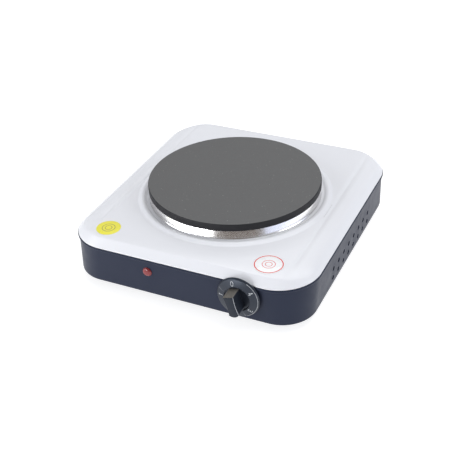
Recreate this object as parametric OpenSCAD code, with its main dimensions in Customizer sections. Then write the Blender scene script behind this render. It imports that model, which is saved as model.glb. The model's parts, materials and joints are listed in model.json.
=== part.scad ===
// Single-burner electric hot plate: cast-iron plate on a white steel cover, black steel body,
// rotary thermostat at the front right, pilot lamp at the front left, cord inlet at the back.
// The floor is z = 0, the front faces -Y, and the origin is under the middle of the overall box.

/* [Body] */
// Width of the body across its side walls, at the seam under the cover
body_w = 225; // [215:1:235]
// Depth of the body from front wall to back wall, at the seam
body_d = 238.5; // [232:0.5:246]
// Radius of the body's upright corners
corner_r = 36; // [33:1:38]
// Height of the black body from its floor to the seam
shell_h = 36; // [34:1:40]
// How far the side walls lean in from seam to floor
wall_lean = 1; // [0.5:0.1:3]
// Sheet thickness of body, cover and base plate
sheet = 0.8; // [0.7:0.1:1]
// Clear height that the rubber feet lift the body
foot_h = 8; // [6:1:10]

/* [Cover] */
// Height of the cover's flat top above the seam
cover_rise = 7.8; // [7.5:0.1:8.5]
// Width of the sloping shoulder round the cover
shoulder = 7.4; // [7:0.1:9]
// Height of the round raised bead about the burner
bead_rise = 1.6; // [1:0.1:2]
// Distance of the two long creases from the centre line
crease_x = 92; // [91:0.5:95]
// Diameter of the round label at the front left
left_label_d = 21.5; // [16:0.5:26]
// Diameter of the round label at the front right
right_label_d = 25.5; // [16:0.5:26]

/* [Burner] */
// Diameter of the cast-iron plate
plate_d = 157; // [150:1:160]
// Height of the plate's rim
plate_rim_h = 7; // [6:0.5:8]
// Height of the plate's top above the seam
plate_rise = 22.5; // [21:0.1:24]
// How far the burner's centre lies in front of the body's centre
plate_forward = 2.1; // [0:0.1:3]
// Diameter of the shallow dish in the plate's middle
dish_d = 38; // [30:1:44]

/* [Controls] */
// Distance of the knob's axis from the centre line
knob_x = 55.8; // [52:0.1:60]
// Distance of knob and pilot lamp below the seam
controls_drop = 12.3; // [11.5:0.1:13]
// Diameter of the knob's skirt
knob_d = 37.6; // [35:0.1:39]
// Turn of the knob's zero from straight up, in the off position
knob_zero = 16.5; // [0:0.1:20]
// Distance of the pilot lamp from the centre line
pilot_x = -29.5; // [-40:0.5:-20]
// Diameter of the pilot lamp's lens
pilot_d = 8.4; // [8:0.1:9]

/* [Vents] */
// Number of vent holes in each row
vent_n = 8; // [6:1:9]
// Distance between vent holes in a row
vent_pitch = 13.5; // [12:0.5:15]
// Distance of the upper row of vents below the seam
vent_drop = 19; // [16:0.5:21]
// Distance from the upper row of vents down to the lower row
vent_step = 9.4; // [7:0.2:11]
// Diameter of a vent hole
vent_d = 4; // [3:0.5:5]

/* [Hidden] */
$fn = 96;
eps = 0.01;

// Colours
enamel_white = [0.93, 0.94, 0.95];
paint_black = [0.16, 0.17, 0.20];
iron_grey = [0.30, 0.30, 0.30];
steel = [0.75, 0.76, 0.78];
zinc = [0.66, 0.67, 0.70];
brass = [0.80, 0.66, 0.34];
porcelain = [0.90, 0.87, 0.80];
rubber_black = [0.10, 0.10, 0.10];

// Heights above the floor
floor_z = foot_h;
seam_z = floor_z + shell_h;
top_z = seam_z + cover_rise;
under_z = top_z - sheet;
plate_z = seam_z + plate_rise;
rim_z = plate_z - plate_rim_h;
axis_z = seam_z - controls_drop;

// The rolled rim under the cover, and the wall's inset below it
rim_r = 1;
rim_out = 0.3;
wall_in = 0.9;

// The cover's edge stands this far inside the nominal outline
edge_in = 0.5;

// Outer face of the wall at a height: distance inside the nominal outline
function wall_inset(z) = wall_in + wall_lean * (seam_z - z) / shell_h;
front_wall_y = -body_d / 2 + wall_inset(axis_z);

// The bottom flange and the base plate that rests on it
flange_w = 16;
base_z = floor_z + sheet;
base_top = base_z + sheet;
base_gap = 0.4;
foot_pos = [body_w / 2 - 32.5, body_d / 2 - 33.5];
foot_d = 18;
foot_recess_h = 3.2;
foot_recess_r = 5;
standoff_pos = [body_w / 2 - 20.2, body_d / 2 - 20.2];
screw_r = 2;
small_head_r = 3.6;
small_head_h = 1.8;
nut_af = 7;
nut_h = 2.6;
standoff_af = 7.5;

// The cover's skirt inside the body
skirt_in = 2.4;
skirt_h = 6;
hem_h = 0.8;

// The burner, measured from its own centre
plate_r = plate_d / 2;
plate_wall_out = plate_r - 6.7;
plate_wall_in = plate_wall_out - 5.3;
hub_r = 16;
plate_foot_z = top_z + 1.4;
plate_web = 5.4;
stud_r = 2.9;
ring_top_r = plate_r - 1.2;
ring_foot_r = plate_r + 2.3;
hole_r = plate_r - 2;
bead_in = plate_r + 3;
bead_out = plate_r + 11;
strap_w = 22;
strap_t = 1.6;
strap_z = top_z - 10.4;
shield_r = 64;
coil_r = 1.5;
coil_z = plate_foot_z + 3.8;
coil_turns = [26, 36, 46, 56];
coil_gap = 12;
leg_turns = [26, 56];
leg_turn = -90 - coil_gap;
leg_foot_z = strap_z + 5.4;
sleeve_z = strap_z - 1.6;

// The knob, measured along its axis from its rear face
knob_gap = 1.1;
knob_rear_y = -body_d / 2 - knob_gap;
knob_r = knob_d / 2;
dial_edge_z = 2.2;
dial_well_z = 4.3;
dial_well_r = 11.3;
well_floor_z = 2.4;
grip_z = 15.2;
grip_half = 4.75;
grip_waist = 0.8;
grip_end_r = 6.4;
grip_up = 9.3;
grip_down = 10.2;
bore_r = 3.05;
bore_depth = 9.5;
flat_off = 1.9;

// The thermostat behind the front wall
bracket_y = -body_d / 2 + 3.6;
bracket_t = 1.2;
bracket_back_y = bracket_y + bracket_t;
stack_x = knob_x - 21.8;
blade_len = 28;
blade_h = 7;
blade_t = 0.5;
ring_r = 6;
blade_a_y = bracket_back_y + 10.4;
blade_b_y = blade_a_y + 3.5;
bimetal_y = blade_b_y + 3.5;
stack_end_y = bimetal_y + 3.8;
bush_r = 4.8;
spindle_r = 2.95;
pin_r = 1.5;
running_gap = 0.06;
screw_spread = 11.5;

// Mains side at the back
gland_x = 60;
gland_z = 24;
gland_bore_r = 3.5;
block_y = body_d / 2 - 27.5;
block_size = [30, 18, 12];
earth_pos = [24, 94];

// The round labels on the cover
label_t = 0.2;
left_label_at = [-77.2, -97.7];
right_label_at = [72.3, -96.3];

// Overall front and back, which place the body about the origin
gland_out = 1.7;
gland_sleeve = 8;
gland_flare = 1.2;
front_y = knob_rear_y - grip_z;
back_y = body_d / 2 + max(rim_out, gland_out - wall_inset(gland_z));
body_y = -(front_y + back_y) / 2;

// ---------------------------------------------------------------- helpers

// Moves the body's own centre to its place over the origin
module at_body() {
    translate([0, body_y, 0]) children();
}

// Moves the burner's centre to its place
module at_burner() {
    translate([0, body_y - plate_forward, 0]) children();
}

// Turns +Z to face out of the front wall at the knob's axis, from a given depth
module on_front(x, y) {
    translate([x, body_y + y, axis_z]) rotate([90, 0, 0]) children();
}

// Sweeps a wall section round a rounded rectangle; section x = 0 is the outline, y is height
module around(w, d, r) {
    for (k = [0:3]) {
        half = k % 2 == 0 ? w / 2 : d / 2;
        run = (k % 2 == 0 ? d : w) - 2 * r;
        rotate([0, 0, 90 * k]) {
            translate([half, run / 2, 0]) rotate([90, 0, 0]) linear_extrude(run) children();
            translate([half - r, run / 2, 0]) rotate_extrude(angle = 90) translate([r, 0]) children();
        }
    }
}

// A flat rounded plate with its underside at z = 0
module rounded_plate(w, d, r, t) {
    linear_extrude(t) {
        square([w - 2 * r, d], center = true);
        square([w, d - 2 * r], center = true);
        for (x = [-1, 1]) {
            for (y = [-1, 1]) {
                translate([x * (w / 2 - r), y * (d / 2 - r)]) circle(r);
            }
        }
    }
}

// Puts a child at the four mirrored corners
module at_corners(p) {
    for (x = [-1, 1]) {
        for (y = [-1, 1]) {
            translate([x * p[0], y * p[1], 0]) children();
        }
    }
}

// A ring with a rectangular section
module washer(r_in, r_out, h) {
    difference() {
        cylinder(r = r_out, h = h);
        translate([0, 0, -1]) cylinder(r = r_in, h = h + 2);
    }
}

// A pan-head screw standing on z = 0, its head below and its shank above
module screw(r, shank, head_r, head_h) {
    difference() {
        translate([0, 0, -head_h]) cylinder(r = head_r, h = head_h);
        translate([0, 0, -head_h - eps]) {
            for (a = [0, 90]) {
                rotate([0, 0, a]) {
                    translate([-head_r * 0.6, -0.4, 0]) cube([head_r * 1.2, 0.8, head_h * 0.5]);
                }
            }
        }
    }
    translate([0, 0, -head_h / 2]) cylinder(r = r, h = shank + head_h / 2);
}

// A lead as a tube of eight sides along a smooth curve through chosen points
function curve_point(p, i, t) =
    let (
        a = p[max(i - 1, 0)],
        b = p[i],
        c = p[i + 1],
        d = p[min(i + 2, len(p) - 1)]
    )
    0.5 * (2 * b + (c - a) * t + (2 * a - 5 * b + 4 * c - d) * t * t + (3 * b - a - 3 * c + d) * t * t * t);

function curve(p, steps) = [
    for (i = [0:len(p) - 2]) for (s = [0:steps - 1]) curve_point(p, i, s / steps),
    p[len(p) - 1],
];

function unit(v) = v / norm(v);

// A side direction square to the heading, carried on from the last one so that the tube never twists
function sides(heads, i, last) =
    i == len(heads)
        ? []
        : let (flat = last - (last * heads[i]) * heads[i], s = unit(flat)) concat([s], sides(heads, i + 1, s));

module lead(points, r, steps = 4) {
    path = curve(points, steps);
    n = len(path);
    k = 8;
    heads = [for (i = [0:n - 1]) unit(path[min(i + 1, n - 1)] - path[max(i - 1, 0)])];
    first = abs(heads[0].z) > 0.9 ? [1, 0, 0] : [0, 0, 1];
    side = sides(heads, 0, first);
    rings = [
        for (i = [0:n - 1])
            for (j = [0:k - 1])
                path[i] + r * (cos(360 * j / k) * side[i] + sin(360 * j / k) * cross(heads[i], side[i])),
    ];
    walls = [
        for (i = [0:n - 2])
            for (j = [0:k - 1])
                let (m = (j + 1) % k)
                [i * k + j, (i + 1) * k + j, (i + 1) * k + m, i * k + m],
    ];
    ends = [[for (j = [0:k - 1]) j], [for (j = [k - 1:-1:0]) (n - 1) * k + j]];
    polyhedron(rings, concat(walls, ends), convexity = 6);
}

// ---------------------------------------------------------------- covers and body

// White stamped cover: sloping shoulder, flat top, raised bead, two creases, burner hole
module top_cover() {
    s = sheet * 1.4;
    drop = hem_h;
    color(enamel_white) at_body() difference() {
        union() {
            around(body_w, body_d, corner_r) polygon([
                [-edge_in, seam_z],
                [-edge_in, seam_z + drop],
                [-shoulder + 1.4, top_z - 0.6],
                [-shoulder, top_z],
                [-shoulder, under_z],
                [-shoulder + 0.9, under_z - 0.5],
                [-skirt_in - sheet, seam_z + drop + skirt_in + sheet - s],
                [-skirt_in - sheet, seam_z - skirt_h],
                [-skirt_in, seam_z - skirt_h],
                [-skirt_in, seam_z],
            ]);
            translate([0, 0, under_z]) {
                rounded_plate(body_w - 2 * shoulder, body_d - 2 * shoulder, corner_r - shoulder, sheet);
            }
            translate([0, -plate_forward, 0]) rotate_extrude() polygon([
                [bead_in, top_z - sheet / 2],
                [bead_in, top_z],
                [bead_in + 2.4, top_z + bead_rise],
                [bead_out - 3, top_z + bead_rise],
                [bead_out, top_z],
                [bead_out, top_z - sheet / 2],
            ]);
        }
        translate([0, -plate_forward, 0]) cylinder(r = hole_r, h = 100);
        for (side = [-1, 1]) {
            translate([side * crease_x, body_d / 2 - 13, top_z]) rotate([90, 0, 0]) {
                linear_extrude(body_d - 26) polygon([[-1.5, eps], [0, -0.35], [1.5, eps]]);
            }
        }
    }
}

// Black body: leaning walls with a rolled rim, a bottom flange, and its holes
module body_shell() {
    foot_in = wall_in + wall_lean;
    color(paint_black) at_body() difference() {
        around(body_w, body_d, corner_r) {
            polygon([
                [-foot_in - 1.2, floor_z],
                [-foot_in, floor_z + 1.2],
                [-wall_in, seam_z - rim_r],
                [-wall_in - sheet, seam_z - rim_r],
                [-foot_in - sheet, floor_z + sheet],
                [-foot_in - flange_w, floor_z + sheet],
                [-foot_in - flange_w, floor_z],
            ]);
            translate([rim_out - rim_r, seam_z - rim_r - 0.1]) circle(rim_r);
        }
        for (i = [0:vent_n - 1]) {
            for (drop = [vent_drop, vent_drop + vent_step]) {
                translate([0, (i - (vent_n - 1) / 2) * vent_pitch, seam_z - drop]) rotate([0, 90, 0]) {
                    cylinder(d = vent_d, h = body_w + 20, center = true);
                }
            }
        }
        at_corners(standoff_pos) cylinder(r = screw_r + 0.3, h = floor_z + 6);
        translate([knob_x, -body_d / 2, axis_z]) rotate([90, 0, 0]) {
            cylinder(r = bush_r + 0.4, h = 20, center = true);
            for (side = [-1, 1]) {
                translate([side * screw_spread, 0, 0]) cylinder(r = 1.7, h = 20, center = true);
            }
        }
        translate([pilot_x, -body_d / 2, axis_z]) rotate([90, 0, 0]) {
            cylinder(r = pilot_d / 2 - 0.3, h = 20, center = true);
        }
        translate([gland_x, body_d / 2, gland_z]) rotate([90, 0, 0]) {
            cylinder(r = gland_bore_r + 2.1, h = 20, center = true);
        }
    }
}

// Base plate that closes the bottom, with vent slots and holes for feet and screws
module base_plate() {
    edge = wall_inset(floor_z) + sheet + base_gap;
    slot_w = 4;
    slot_l = 44;
    color(zinc) at_body() difference() {
        translate([0, 0, base_z]) {
            rounded_plate(body_w - 2 * edge - 3.4, body_d - 2 * edge - 3.4, corner_r - edge - 1.7, sheet);
        }
        at_corners(standoff_pos) cylinder(r = screw_r + 0.2, h = 20);
        at_corners(foot_pos) cylinder(r = screw_r + 0.2, h = 20);
        translate([earth_pos[0], earth_pos[1], 0]) cylinder(r = screw_r + 0.1, h = 20);
        for (side = [-1, 1]) {
            for (i = [-2:2]) {
                translate([side * 32 - slot_l / 2, i * 16 - slot_w / 2 - 20, 0]) cube([slot_l, slot_w, 20]);
            }
        }
    }
}

// Four screws that clamp base plate and body up to the standoffs
module base_screws() {
    color(steel) at_body() at_corners(standoff_pos) {
        translate([0, 0, floor_z]) screw(screw_r, 9, small_head_r, small_head_h);
    }
}

// Four hexagonal standoffs welded under the cover
module cover_standoffs() {
    color(zinc) at_body() at_corners(standoff_pos) {
        difference() {
            translate([0, 0, base_top]) {
                cylinder(d = standoff_af / cos(30), h = under_z - base_top, $fn = 6);
            }
            translate([0, 0, base_top - 1]) cylinder(r = screw_r + 0.05, h = 12);
        }
    }
}

// Four rubber feet with a recess for their screws
module rubber_feet() {
    color(rubber_black) at_body() at_corners(foot_pos) {
        rotate_extrude() polygon([
            [foot_d / 2 - 1, 0],
            [foot_d / 2, 1],
            [foot_d / 2 - 1, base_z],
            [screw_r + 0.1, base_z],
            [screw_r + 0.1, foot_recess_h],
            [foot_recess_r, foot_recess_h],
            [foot_recess_r, 0],
        ]);
    }
}

// Screws that hold the feet
module foot_screws() {
    color(steel) at_body() at_corners(foot_pos) translate([0, 0, foot_recess_h]) {
        screw(screw_r, foot_h + 2.5, small_head_r, small_head_h);
    }
}

// Nuts on the foot screws, inside the body
module foot_nuts() {
    color(steel) at_body() at_corners(foot_pos) translate([0, 0, base_top]) difference() {
        cylinder(d = nut_af / cos(30), h = nut_h, $fn = 6);
        translate([0, 0, -1]) cylinder(r = screw_r + 0.05, h = nut_h + 2);
    }
}

// ---------------------------------------------------------------- burner

// Cast-iron plate: dished middle, rim, outer wall and threaded hub round the coil's channel
module hot_plate() {
    web_z = plate_z - plate_web;
    color(iron_grey) at_burner() rotate_extrude($fn = 180) polygon([
        [0, plate_z - 0.4],
        [dish_d / 2 - 3, plate_z - 0.4],
        [dish_d / 2, plate_z],
        [plate_r - 0.8, plate_z],
        [plate_r, plate_z - 0.8],
        [plate_r, rim_z + 0.6],
        [plate_r - 0.6, rim_z],
        [plate_wall_out, rim_z],
        [plate_wall_out, plate_foot_z],
        [plate_wall_in, plate_foot_z],
        [plate_wall_in, web_z],
        [hub_r, web_z],
        [hub_r, plate_foot_z],
        [stud_r + 0.05, plate_foot_z],
        [stud_r + 0.05, web_z + 1.4],
        [0, web_z + 1.4],
    ]);
}

// Bright steel ring between plate and cover
module trim_ring() {
    t = 0.6;
    color(steel) at_burner() rotate_extrude($fn = 180) polygon([
        [plate_wall_out + 0.2, top_z + 2],
        [plate_wall_out + 0.2, rim_z],
        [ring_top_r, rim_z],
        [ring_foot_r - 0.9, top_z + t],
        [ring_foot_r, top_z + t],
        [ring_foot_r, top_z],
        [ring_foot_r - 1.4, top_z],
        [ring_top_r - 0.5, rim_z - t],
        [plate_wall_out + 0.2 + t, rim_z - t],
        [plate_wall_out + 0.2 + t, top_z + 2],
    ]);
}

// Places both ends of the coil, where its legs go down
module at_legs() {
    at_burner() rotate([0, 0, leg_turn]) for (r = leg_turns) {
        translate([r, 0, 0]) children();
    }
}

// Heating element: four turns joined end to end, with two legs
module heating_coil() {
    color([0.45, 0.42, 0.40]) {
        at_burner() translate([0, 0, coil_z]) rotate([0, 0, -90]) {
            for (r = coil_turns) {
                rotate([0, 0, coil_gap]) rotate_extrude(angle = 360 - 2 * coil_gap) {
                    translate([r, 0]) circle(coil_r);
                }
            }
            for (i = [0:2]) {
                side = i % 2 == 0 ? 1 : -1;
                rotate([0, 0, side * (coil_gap + 3)]) translate([coil_turns[i], 0, 0]) rotate([0, 90, 0]) {
                    cylinder(r = coil_r - 0.3, h = coil_turns[i + 1] - coil_turns[i]);
                }
            }
        }
        at_legs() translate([0, 0, leg_foot_z]) {
            cylinder(r = coil_r - 0.3, h = coil_z - leg_foot_z);
            translate([0, 0, coil_z - leg_foot_z]) sphere(coil_r + 0.2);
        }
    }
}

// Insulating disc that holds the coil up in the plate
module coil_insulation() {
    color(porcelain) difference() {
        at_burner() translate([0, 0, plate_foot_z + 0.4]) washer(hub_r + 0.3, plate_wall_in - 0.3, 1.4);
        at_legs() cylinder(r = coil_r + 0.2, h = 100);
    }
}

// Steel disc that closes the underside of the plate
module plate_backing() {
    color(steel) difference() {
        at_burner() translate([0, 0, plate_foot_z - sheet]) washer(stud_r + 0.3, plate_wall_out - 0.6, sheet);
        at_legs() cylinder(r = 2.7, h = 100);
    }
}

// Stud from the plate's hub down through the clamp strap
module centre_stud() {
    color(steel) at_burner() translate([0, 0, strap_z - 9]) {
        cylinder(r = stud_r, h = plate_z - plate_web + 1 - strap_z + 9);
    }
}

// Tube that keeps the heat shield down on the strap
module spacer_tube() {
    low = strap_z + strap_t + sheet;
    color(zinc) at_burner() translate([0, 0, low]) washer(stud_r + 0.2, 5.5, plate_foot_z - sheet - low);
}

// Dished shield that keeps the heat off the base
module heat_shield() {
    z = strap_z + strap_t;
    color(zinc) difference() {
        at_burner() rotate_extrude() polygon([
            [stud_r + 0.3, z],
            [shield_r - 2, z],
            [shield_r, z + 4],
            [shield_r - sheet, z + 4],
            [shield_r - 2 - sheet, z + sheet],
            [stud_r + 0.3, z + sheet],
        ]);
        at_legs() cylinder(r = 4.2, h = 100);
    }
}

// Strap across the burner hole; its ends bear up under the cover
module clamp_strap() {
    reach = hole_r + 4;
    foot = 9;
    color(zinc) at_burner() difference() {
        translate([0, strap_w / 2, 0]) rotate([90, 0, 0]) linear_extrude(strap_w) polygon([
            [-reach, strap_z],
            [reach, strap_z],
            [reach, under_z - strap_t],
            [reach + foot, under_z - strap_t],
            [reach + foot, under_z],
            [reach - strap_t, under_z],
            [reach - strap_t, strap_z + strap_t],
            [-reach + strap_t, strap_z + strap_t],
            [-reach + strap_t, under_z],
            [-reach - foot, under_z],
            [-reach - foot, under_z - strap_t],
            [-reach, under_z - strap_t],
        ]);
        cylinder(r = stud_r + 0.3, h = 100);
    }
}

// Washer under the strap
module stud_washer() {
    color(steel) at_burner() translate([0, 0, strap_z - 1.2]) washer(stud_r + 0.2, 7, 1.2);
}

// Nut that pulls plate, ring and strap together
module stud_nut() {
    color(steel) at_burner() translate([0, 0, strap_z - 6.2]) difference() {
        cylinder(d = 10 / cos(30), h = 5, $fn = 6);
        translate([0, 0, -1]) cylinder(r = stud_r + 0.05, h = 7);
    }
}

// Porcelain bushes that carry the coil's legs through the backing disc
module element_bushes() {
    color(porcelain) at_legs() translate([0, 0, plate_foot_z - sheet - 3]) {
        washer(coil_r - 0.2, 2.6, 4.1);
    }
}

// Crimped sleeves that join the coil's legs to the leads
module crimp_sleeves() {
    color(brass) at_legs() translate([0, 0, sleeve_z]) {
        difference() {
            cylinder(r = 2.2, h = leg_foot_z + 2 - sleeve_z);
            translate([0, 0, leg_foot_z - sleeve_z]) cylinder(r = coil_r - 0.2, h = 10);
        }
    }
}

// ---------------------------------------------------------------- thermostat and knob

// Bracket screwed to the front wall
module thermostat_bracket() {
    left = stack_x - 8;
    right = knob_x + 16;
    half_h = 10;
    color(zinc) difference() {
        translate([left, body_y + bracket_y, axis_z - half_h]) cube([right - left, bracket_t, 2 * half_h]);
        on_front(knob_x, bracket_back_y + 1) {
            cylinder(r = bush_r + 0.02, h = 4);
            for (side = [-1, 1]) {
                translate([side * screw_spread, 0, 0]) cylinder(r = 1.5, h = 4);
            }
        }
        on_front(stack_x, bracket_back_y + 1) cylinder(r = 2.05, h = 4);
    }
}

// Two screws through the front wall, hidden behind the knob's skirt
module bracket_screws() {
    head_gap = 0.25;
    color(steel) for (side = [-1, 1]) {
        on_front(knob_x + side * screw_spread, front_wall_y - head_gap) {
            rotate([180, 0, 0]) screw(1.45, 5, 2.8, 1.2);
        }
    }
}

// Porcelain rings that keep the blades apart
module ceramic_stack() {
    gaps = [
        [bracket_back_y, blade_a_y],
        [blade_a_y + blade_t, blade_b_y],
        [blade_b_y + blade_t, bimetal_y],
        [bimetal_y + 0.8, stack_end_y],
    ];
    color(porcelain) for (g = gaps) {
        on_front(stack_x, g[1]) washer(2.05, ring_r, g[1] - g[0]);
    }
}

// Rivet through the stack
module stack_rivet() {
    color(steel) {
        on_front(stack_x, stack_end_y + 1.2) cylinder(r = 3.4, h = 1.2);
        on_front(stack_x, stack_end_y) cylinder(r = 2, h = stack_end_y - bracket_y);
    }
}

// A flat blade held in the stack, reaching past the spindle's axis, with a tab for a lead
module blade(y, t, tab) {
    tab_l = tab ? 14 : 6;
    difference() {
        translate([stack_x - tab_l, body_y + y, axis_z - blade_h / 2]) cube([blade_len + tab_l, t, blade_h]);
        on_front(stack_x, y + t + 1) cylinder(r = 2.05, h = t + 2);
        if (tab) {
            on_front(stack_x - tab_l + 3.5, y + t + 1) cylinder(r = 1.5, h = t + 2);
        }
    }
}

// Spring blades that carry the contacts
module contact_blades() {
    color(brass) {
        blade(blade_a_y, blade_t, true);
        blade(blade_b_y, blade_t, true);
    }
}

// Silver contacts, open in the off position
module contact_buttons() {
    x = stack_x + blade_len - 3;
    color(steel) {
        on_front(x, blade_a_y + blade_t + 1.1) cylinder(r = 1.8, h = 1.1);
        on_front(x, blade_b_y) cylinder(r = 1.8, h = 1.1);
    }
}

// Bimetal strip behind the blades
module bimetal_strip() {
    color([0.72, 0.62, 0.50]) blade(bimetal_y, 0.8, false);
}

// Brass bush that guides the spindle and, in its narrow end, the pusher pin
module spindle_bush() {
    front = bracket_y - 4;
    back = bracket_back_y + 7;
    shoulder_y = back - 3.5;
    color(brass) difference() {
        union() {
            on_front(knob_x, back) cylinder(r = bush_r, h = back - front);
            on_front(knob_x, bracket_back_y + 1.5) cylinder(r = bush_r + 1.7, h = 1.5);
        }
        on_front(knob_x, shoulder_y) cylinder(r = spindle_r + running_gap, h = 30);
        on_front(knob_x, back + 1) cylinder(r = pin_r + running_gap, h = 30);
    }
}

// Ceramic pin that the spindle drives against the first blade
module pusher_pin() {
    color(porcelain) on_front(knob_x, blade_a_y - 0.95) {
        cylinder(r = pin_r, h = blade_a_y - 0.95 - (bracket_back_y + 3.45));
    }
}

// Spindle with a flat at its outer end
module spindle() {
    back = bracket_back_y + 3.2;
    front = knob_rear_y - bore_depth + 0.3;
    color(steel) on_front(knob_x, back) difference() {
        cylinder(r = spindle_r, h = back - front);
        rotate([0, 0, knob_zero]) translate([-5, flat_off, back - knob_rear_y]) {
            cube([10, 5, bore_depth + 2]);
        }
    }
}

// Outline of the bar grip: flat above, round below, sides drawn in at the waist
module grip_outline() {
    round_y = grip_end_r - grip_down;
    reach = (grip_up + grip_down) / 2;
    side_r = (pow(reach, 2) + pow(grip_waist, 2)) / (2 * grip_waist);
    difference() {
        intersection() {
            translate([-grip_half, -grip_down]) square([2 * grip_half, 2 * reach]);
            union() {
                translate([0, round_y]) circle(r = grip_end_r);
                translate([-grip_half, round_y]) square([2 * grip_half, grip_up - round_y]);
            }
        }
        for (side = [-1, 1]) {
            translate([side * (grip_half - grip_waist + side_r), grip_up - reach]) circle(r = side_r);
        }
    }
}

// Knob: conical dial, round well, and the bar grip that rises from the well
module knob() {
    color([0.13, 0.14, 0.16]) on_front(knob_x, knob_rear_y) rotate([0, 0, knob_zero]) difference() {
        union() {
            rotate_extrude() polygon([
                [0, 0],
                [knob_r, 0],
                [knob_r, 0.8],
                [knob_r - 1, dial_edge_z],
                [dial_well_r, dial_well_z],
                [dial_well_r, well_floor_z],
                [0, well_floor_z],
            ]);
            translate([0, 0, 1]) linear_extrude(grip_z - 1) grip_outline();
        }
        translate([0, 0, -1]) cylinder(r = bore_r, h = bore_depth + 1);
    }
}

// Leaf spring between the spindle's flat and the knob's bore
module knob_spring() {
    color(steel) on_front(knob_x, knob_rear_y) rotate([0, 0, knob_zero]) {
        translate([-1.6, flat_off + 0.05, 1]) cube([3.2, 0.5, bore_depth - 2]);
    }
}

// ---------------------------------------------------------------- pilot lamp

// Red lens: domed head outside the wall, hollow shank inside
module pilot_lens() {
    head_y = front_wall_y - 0.5;
    head_r = pilot_d / 2;
    color([0.85, 0.12, 0.12, 0.8]) on_front(pilot_x, head_y) difference() {
        union() {
            intersection() {
                cylinder(r = head_r, h = 3);
                translate([0, 0, -3.9]) sphere(head_r + 1.6);
            }
            translate([0, 0, -12]) cylinder(r = head_r - 0.45, h = 12 + eps);
        }
        translate([0, 0, -13]) cylinder(r = head_r - 1.25, h = 12.5);
    }
}

// Neon lamp inside the lens
module neon_lamp() {
    color([0.95, 0.75, 0.60]) on_front(pilot_x, front_wall_y + 12) {
        cylinder(r = 2.4, h = 9);
        translate([0, 0, 9]) sphere(2.4);
    }
}

// Spring washer that holds the lens against the wall
module lamp_retainer() {
    color(steel) on_front(pilot_x, front_wall_y + 2.4) washer(pilot_d / 2 - 0.4, 6, 0.5);
}

// ---------------------------------------------------------------- wiring

// Two thin leads of the pilot lamp
module lamp_leads() {
    y = front_wall_y + 12.4;
    color([0.85, 0.85, 0.80]) at_body() {
        lead([
            [pilot_x + 1.4, y, axis_z],
            [pilot_x + 2, y + 6, axis_z - 1],
            [-12, -96, 20],
            [10, -98, 20],
            [stack_x - 13, blade_a_y - 2, 24],
            [stack_x - 12, blade_a_y - 1.6, axis_z - 2],
        ], 0.8);
        lead([
            [pilot_x - 1.4, y, axis_z],
            [pilot_x - 2, y + 6, axis_z - 1],
            [-40, -80, 18],
            [-60, -30, 16],
            [-60, 40, 16],
            [-20, 80, 15],
            [30, 66, 15],
            [gland_x - 3, block_y - 18, 14],
            [gland_x - 2.8, block_y - 9.4, 15],
        ], 0.8);
    }
}

// Lead from the mains terminal to the second blade
module live_lead() {
    color([0.50, 0.28, 0.16]) at_body() lead([
        [gland_x + 9, block_y - 9.2, 17],
        [gland_x + 9, block_y - 16, 16],
        [88, 40, 16],
        [90, -20, 16],
        [74, -70, 18],
        [46, -86, 20],
        [stack_x - 10.5, blade_b_y + 8, 26],
        [stack_x - 10.5, blade_b_y + 1.9, axis_z],
    ], 1.3);
}

// Lead from the first blade to the coil's outer leg
module switched_lead() {
    leg = leg_turns[1];
    x = leg * cos(leg_turn);
    y = leg * sin(leg_turn) - plate_forward;
    color([0.85, 0.85, 0.80]) at_body() lead([
        [stack_x - 10.5, blade_a_y - 0.3, axis_z],
        [stack_x - 11, blade_a_y - 3, axis_z],
        [stack_x - 22, blade_a_y + 2, 28],
        [2, -82, 24],
        [x - 2, y - 12, 24],
        [x, y, 33],
        [x, y, sleeve_z - 0.4],
    ], 1.3);
}

// Lead from the mains terminal to the coil's inner leg
module neutral_lead() {
    leg = leg_turns[0];
    x = leg * cos(leg_turn);
    y = leg * sin(leg_turn) - plate_forward;
    color([0.20, 0.35, 0.70]) at_body() lead([
        [gland_x + 0.5, block_y - 9.6, 17.5],
        [gland_x + 0.5, block_y - 16, 17.5],
        [44, 44, 18],
        [30, 0, 18],
        [8, -24, 22],
        [x, y, 31],
        [x, y, sleeve_z - 0.4],
    ], 1.3);
}

// Lead from the mains terminal to the earth screw
module earth_lead() {
    color([0.35, 0.62, 0.25]) at_body() lead([
        [gland_x - 9, block_y - 9.4, 17],
        [gland_x - 12, block_y - 15, 19],
        [36, 76, 20],
        [earth_pos[0] + 1, 82, 15],
        [earth_pos[0], earth_pos[1] - 4.4, 12.5],
    ], 1.3);
}

// Earth screw in the base plate, with its nut
module earth_screw() {
    color(brass) at_body() translate([earth_pos[0], earth_pos[1], base_z]) {
        screw(screw_r, 9, small_head_r, small_head_h);
        translate([0, 0, sheet]) cylinder(d = nut_af / cos(30), h = 2 * nut_h, $fn = 6);
    }
}

// Three-way terminal block on the base plate
module mains_terminal() {
    color(porcelain) at_body() translate([gland_x, block_y, base_top]) difference() {
        translate([-block_size[0] / 2, -block_size[1] / 2, 0]) cube(block_size);
        for (i = [-1:1]) {
            translate([i * 9, 0, 6.6]) rotate([90, 0, 0]) cylinder(r = 2, h = 30, center = true);
            for (side = [-1, 1]) {
                translate([i * 9, side * 4.5, 8]) cylinder(r = 1.8, h = 10);
            }
        }
    }
}

// Clamping screws of the terminal block
module mains_screws() {
    color(brass) at_body() translate([gland_x, block_y, base_top]) {
        for (i = [-1:1]) {
            for (side = [-1, 1]) {
                translate([i * 9, side * 4.5, 8.1]) difference() {
                    cylinder(r = 1.7, h = 3.4);
                    translate([-2, -0.3, 2.6]) cube([4, 0.6, 2]);
                }
            }
        }
    }
}

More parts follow.
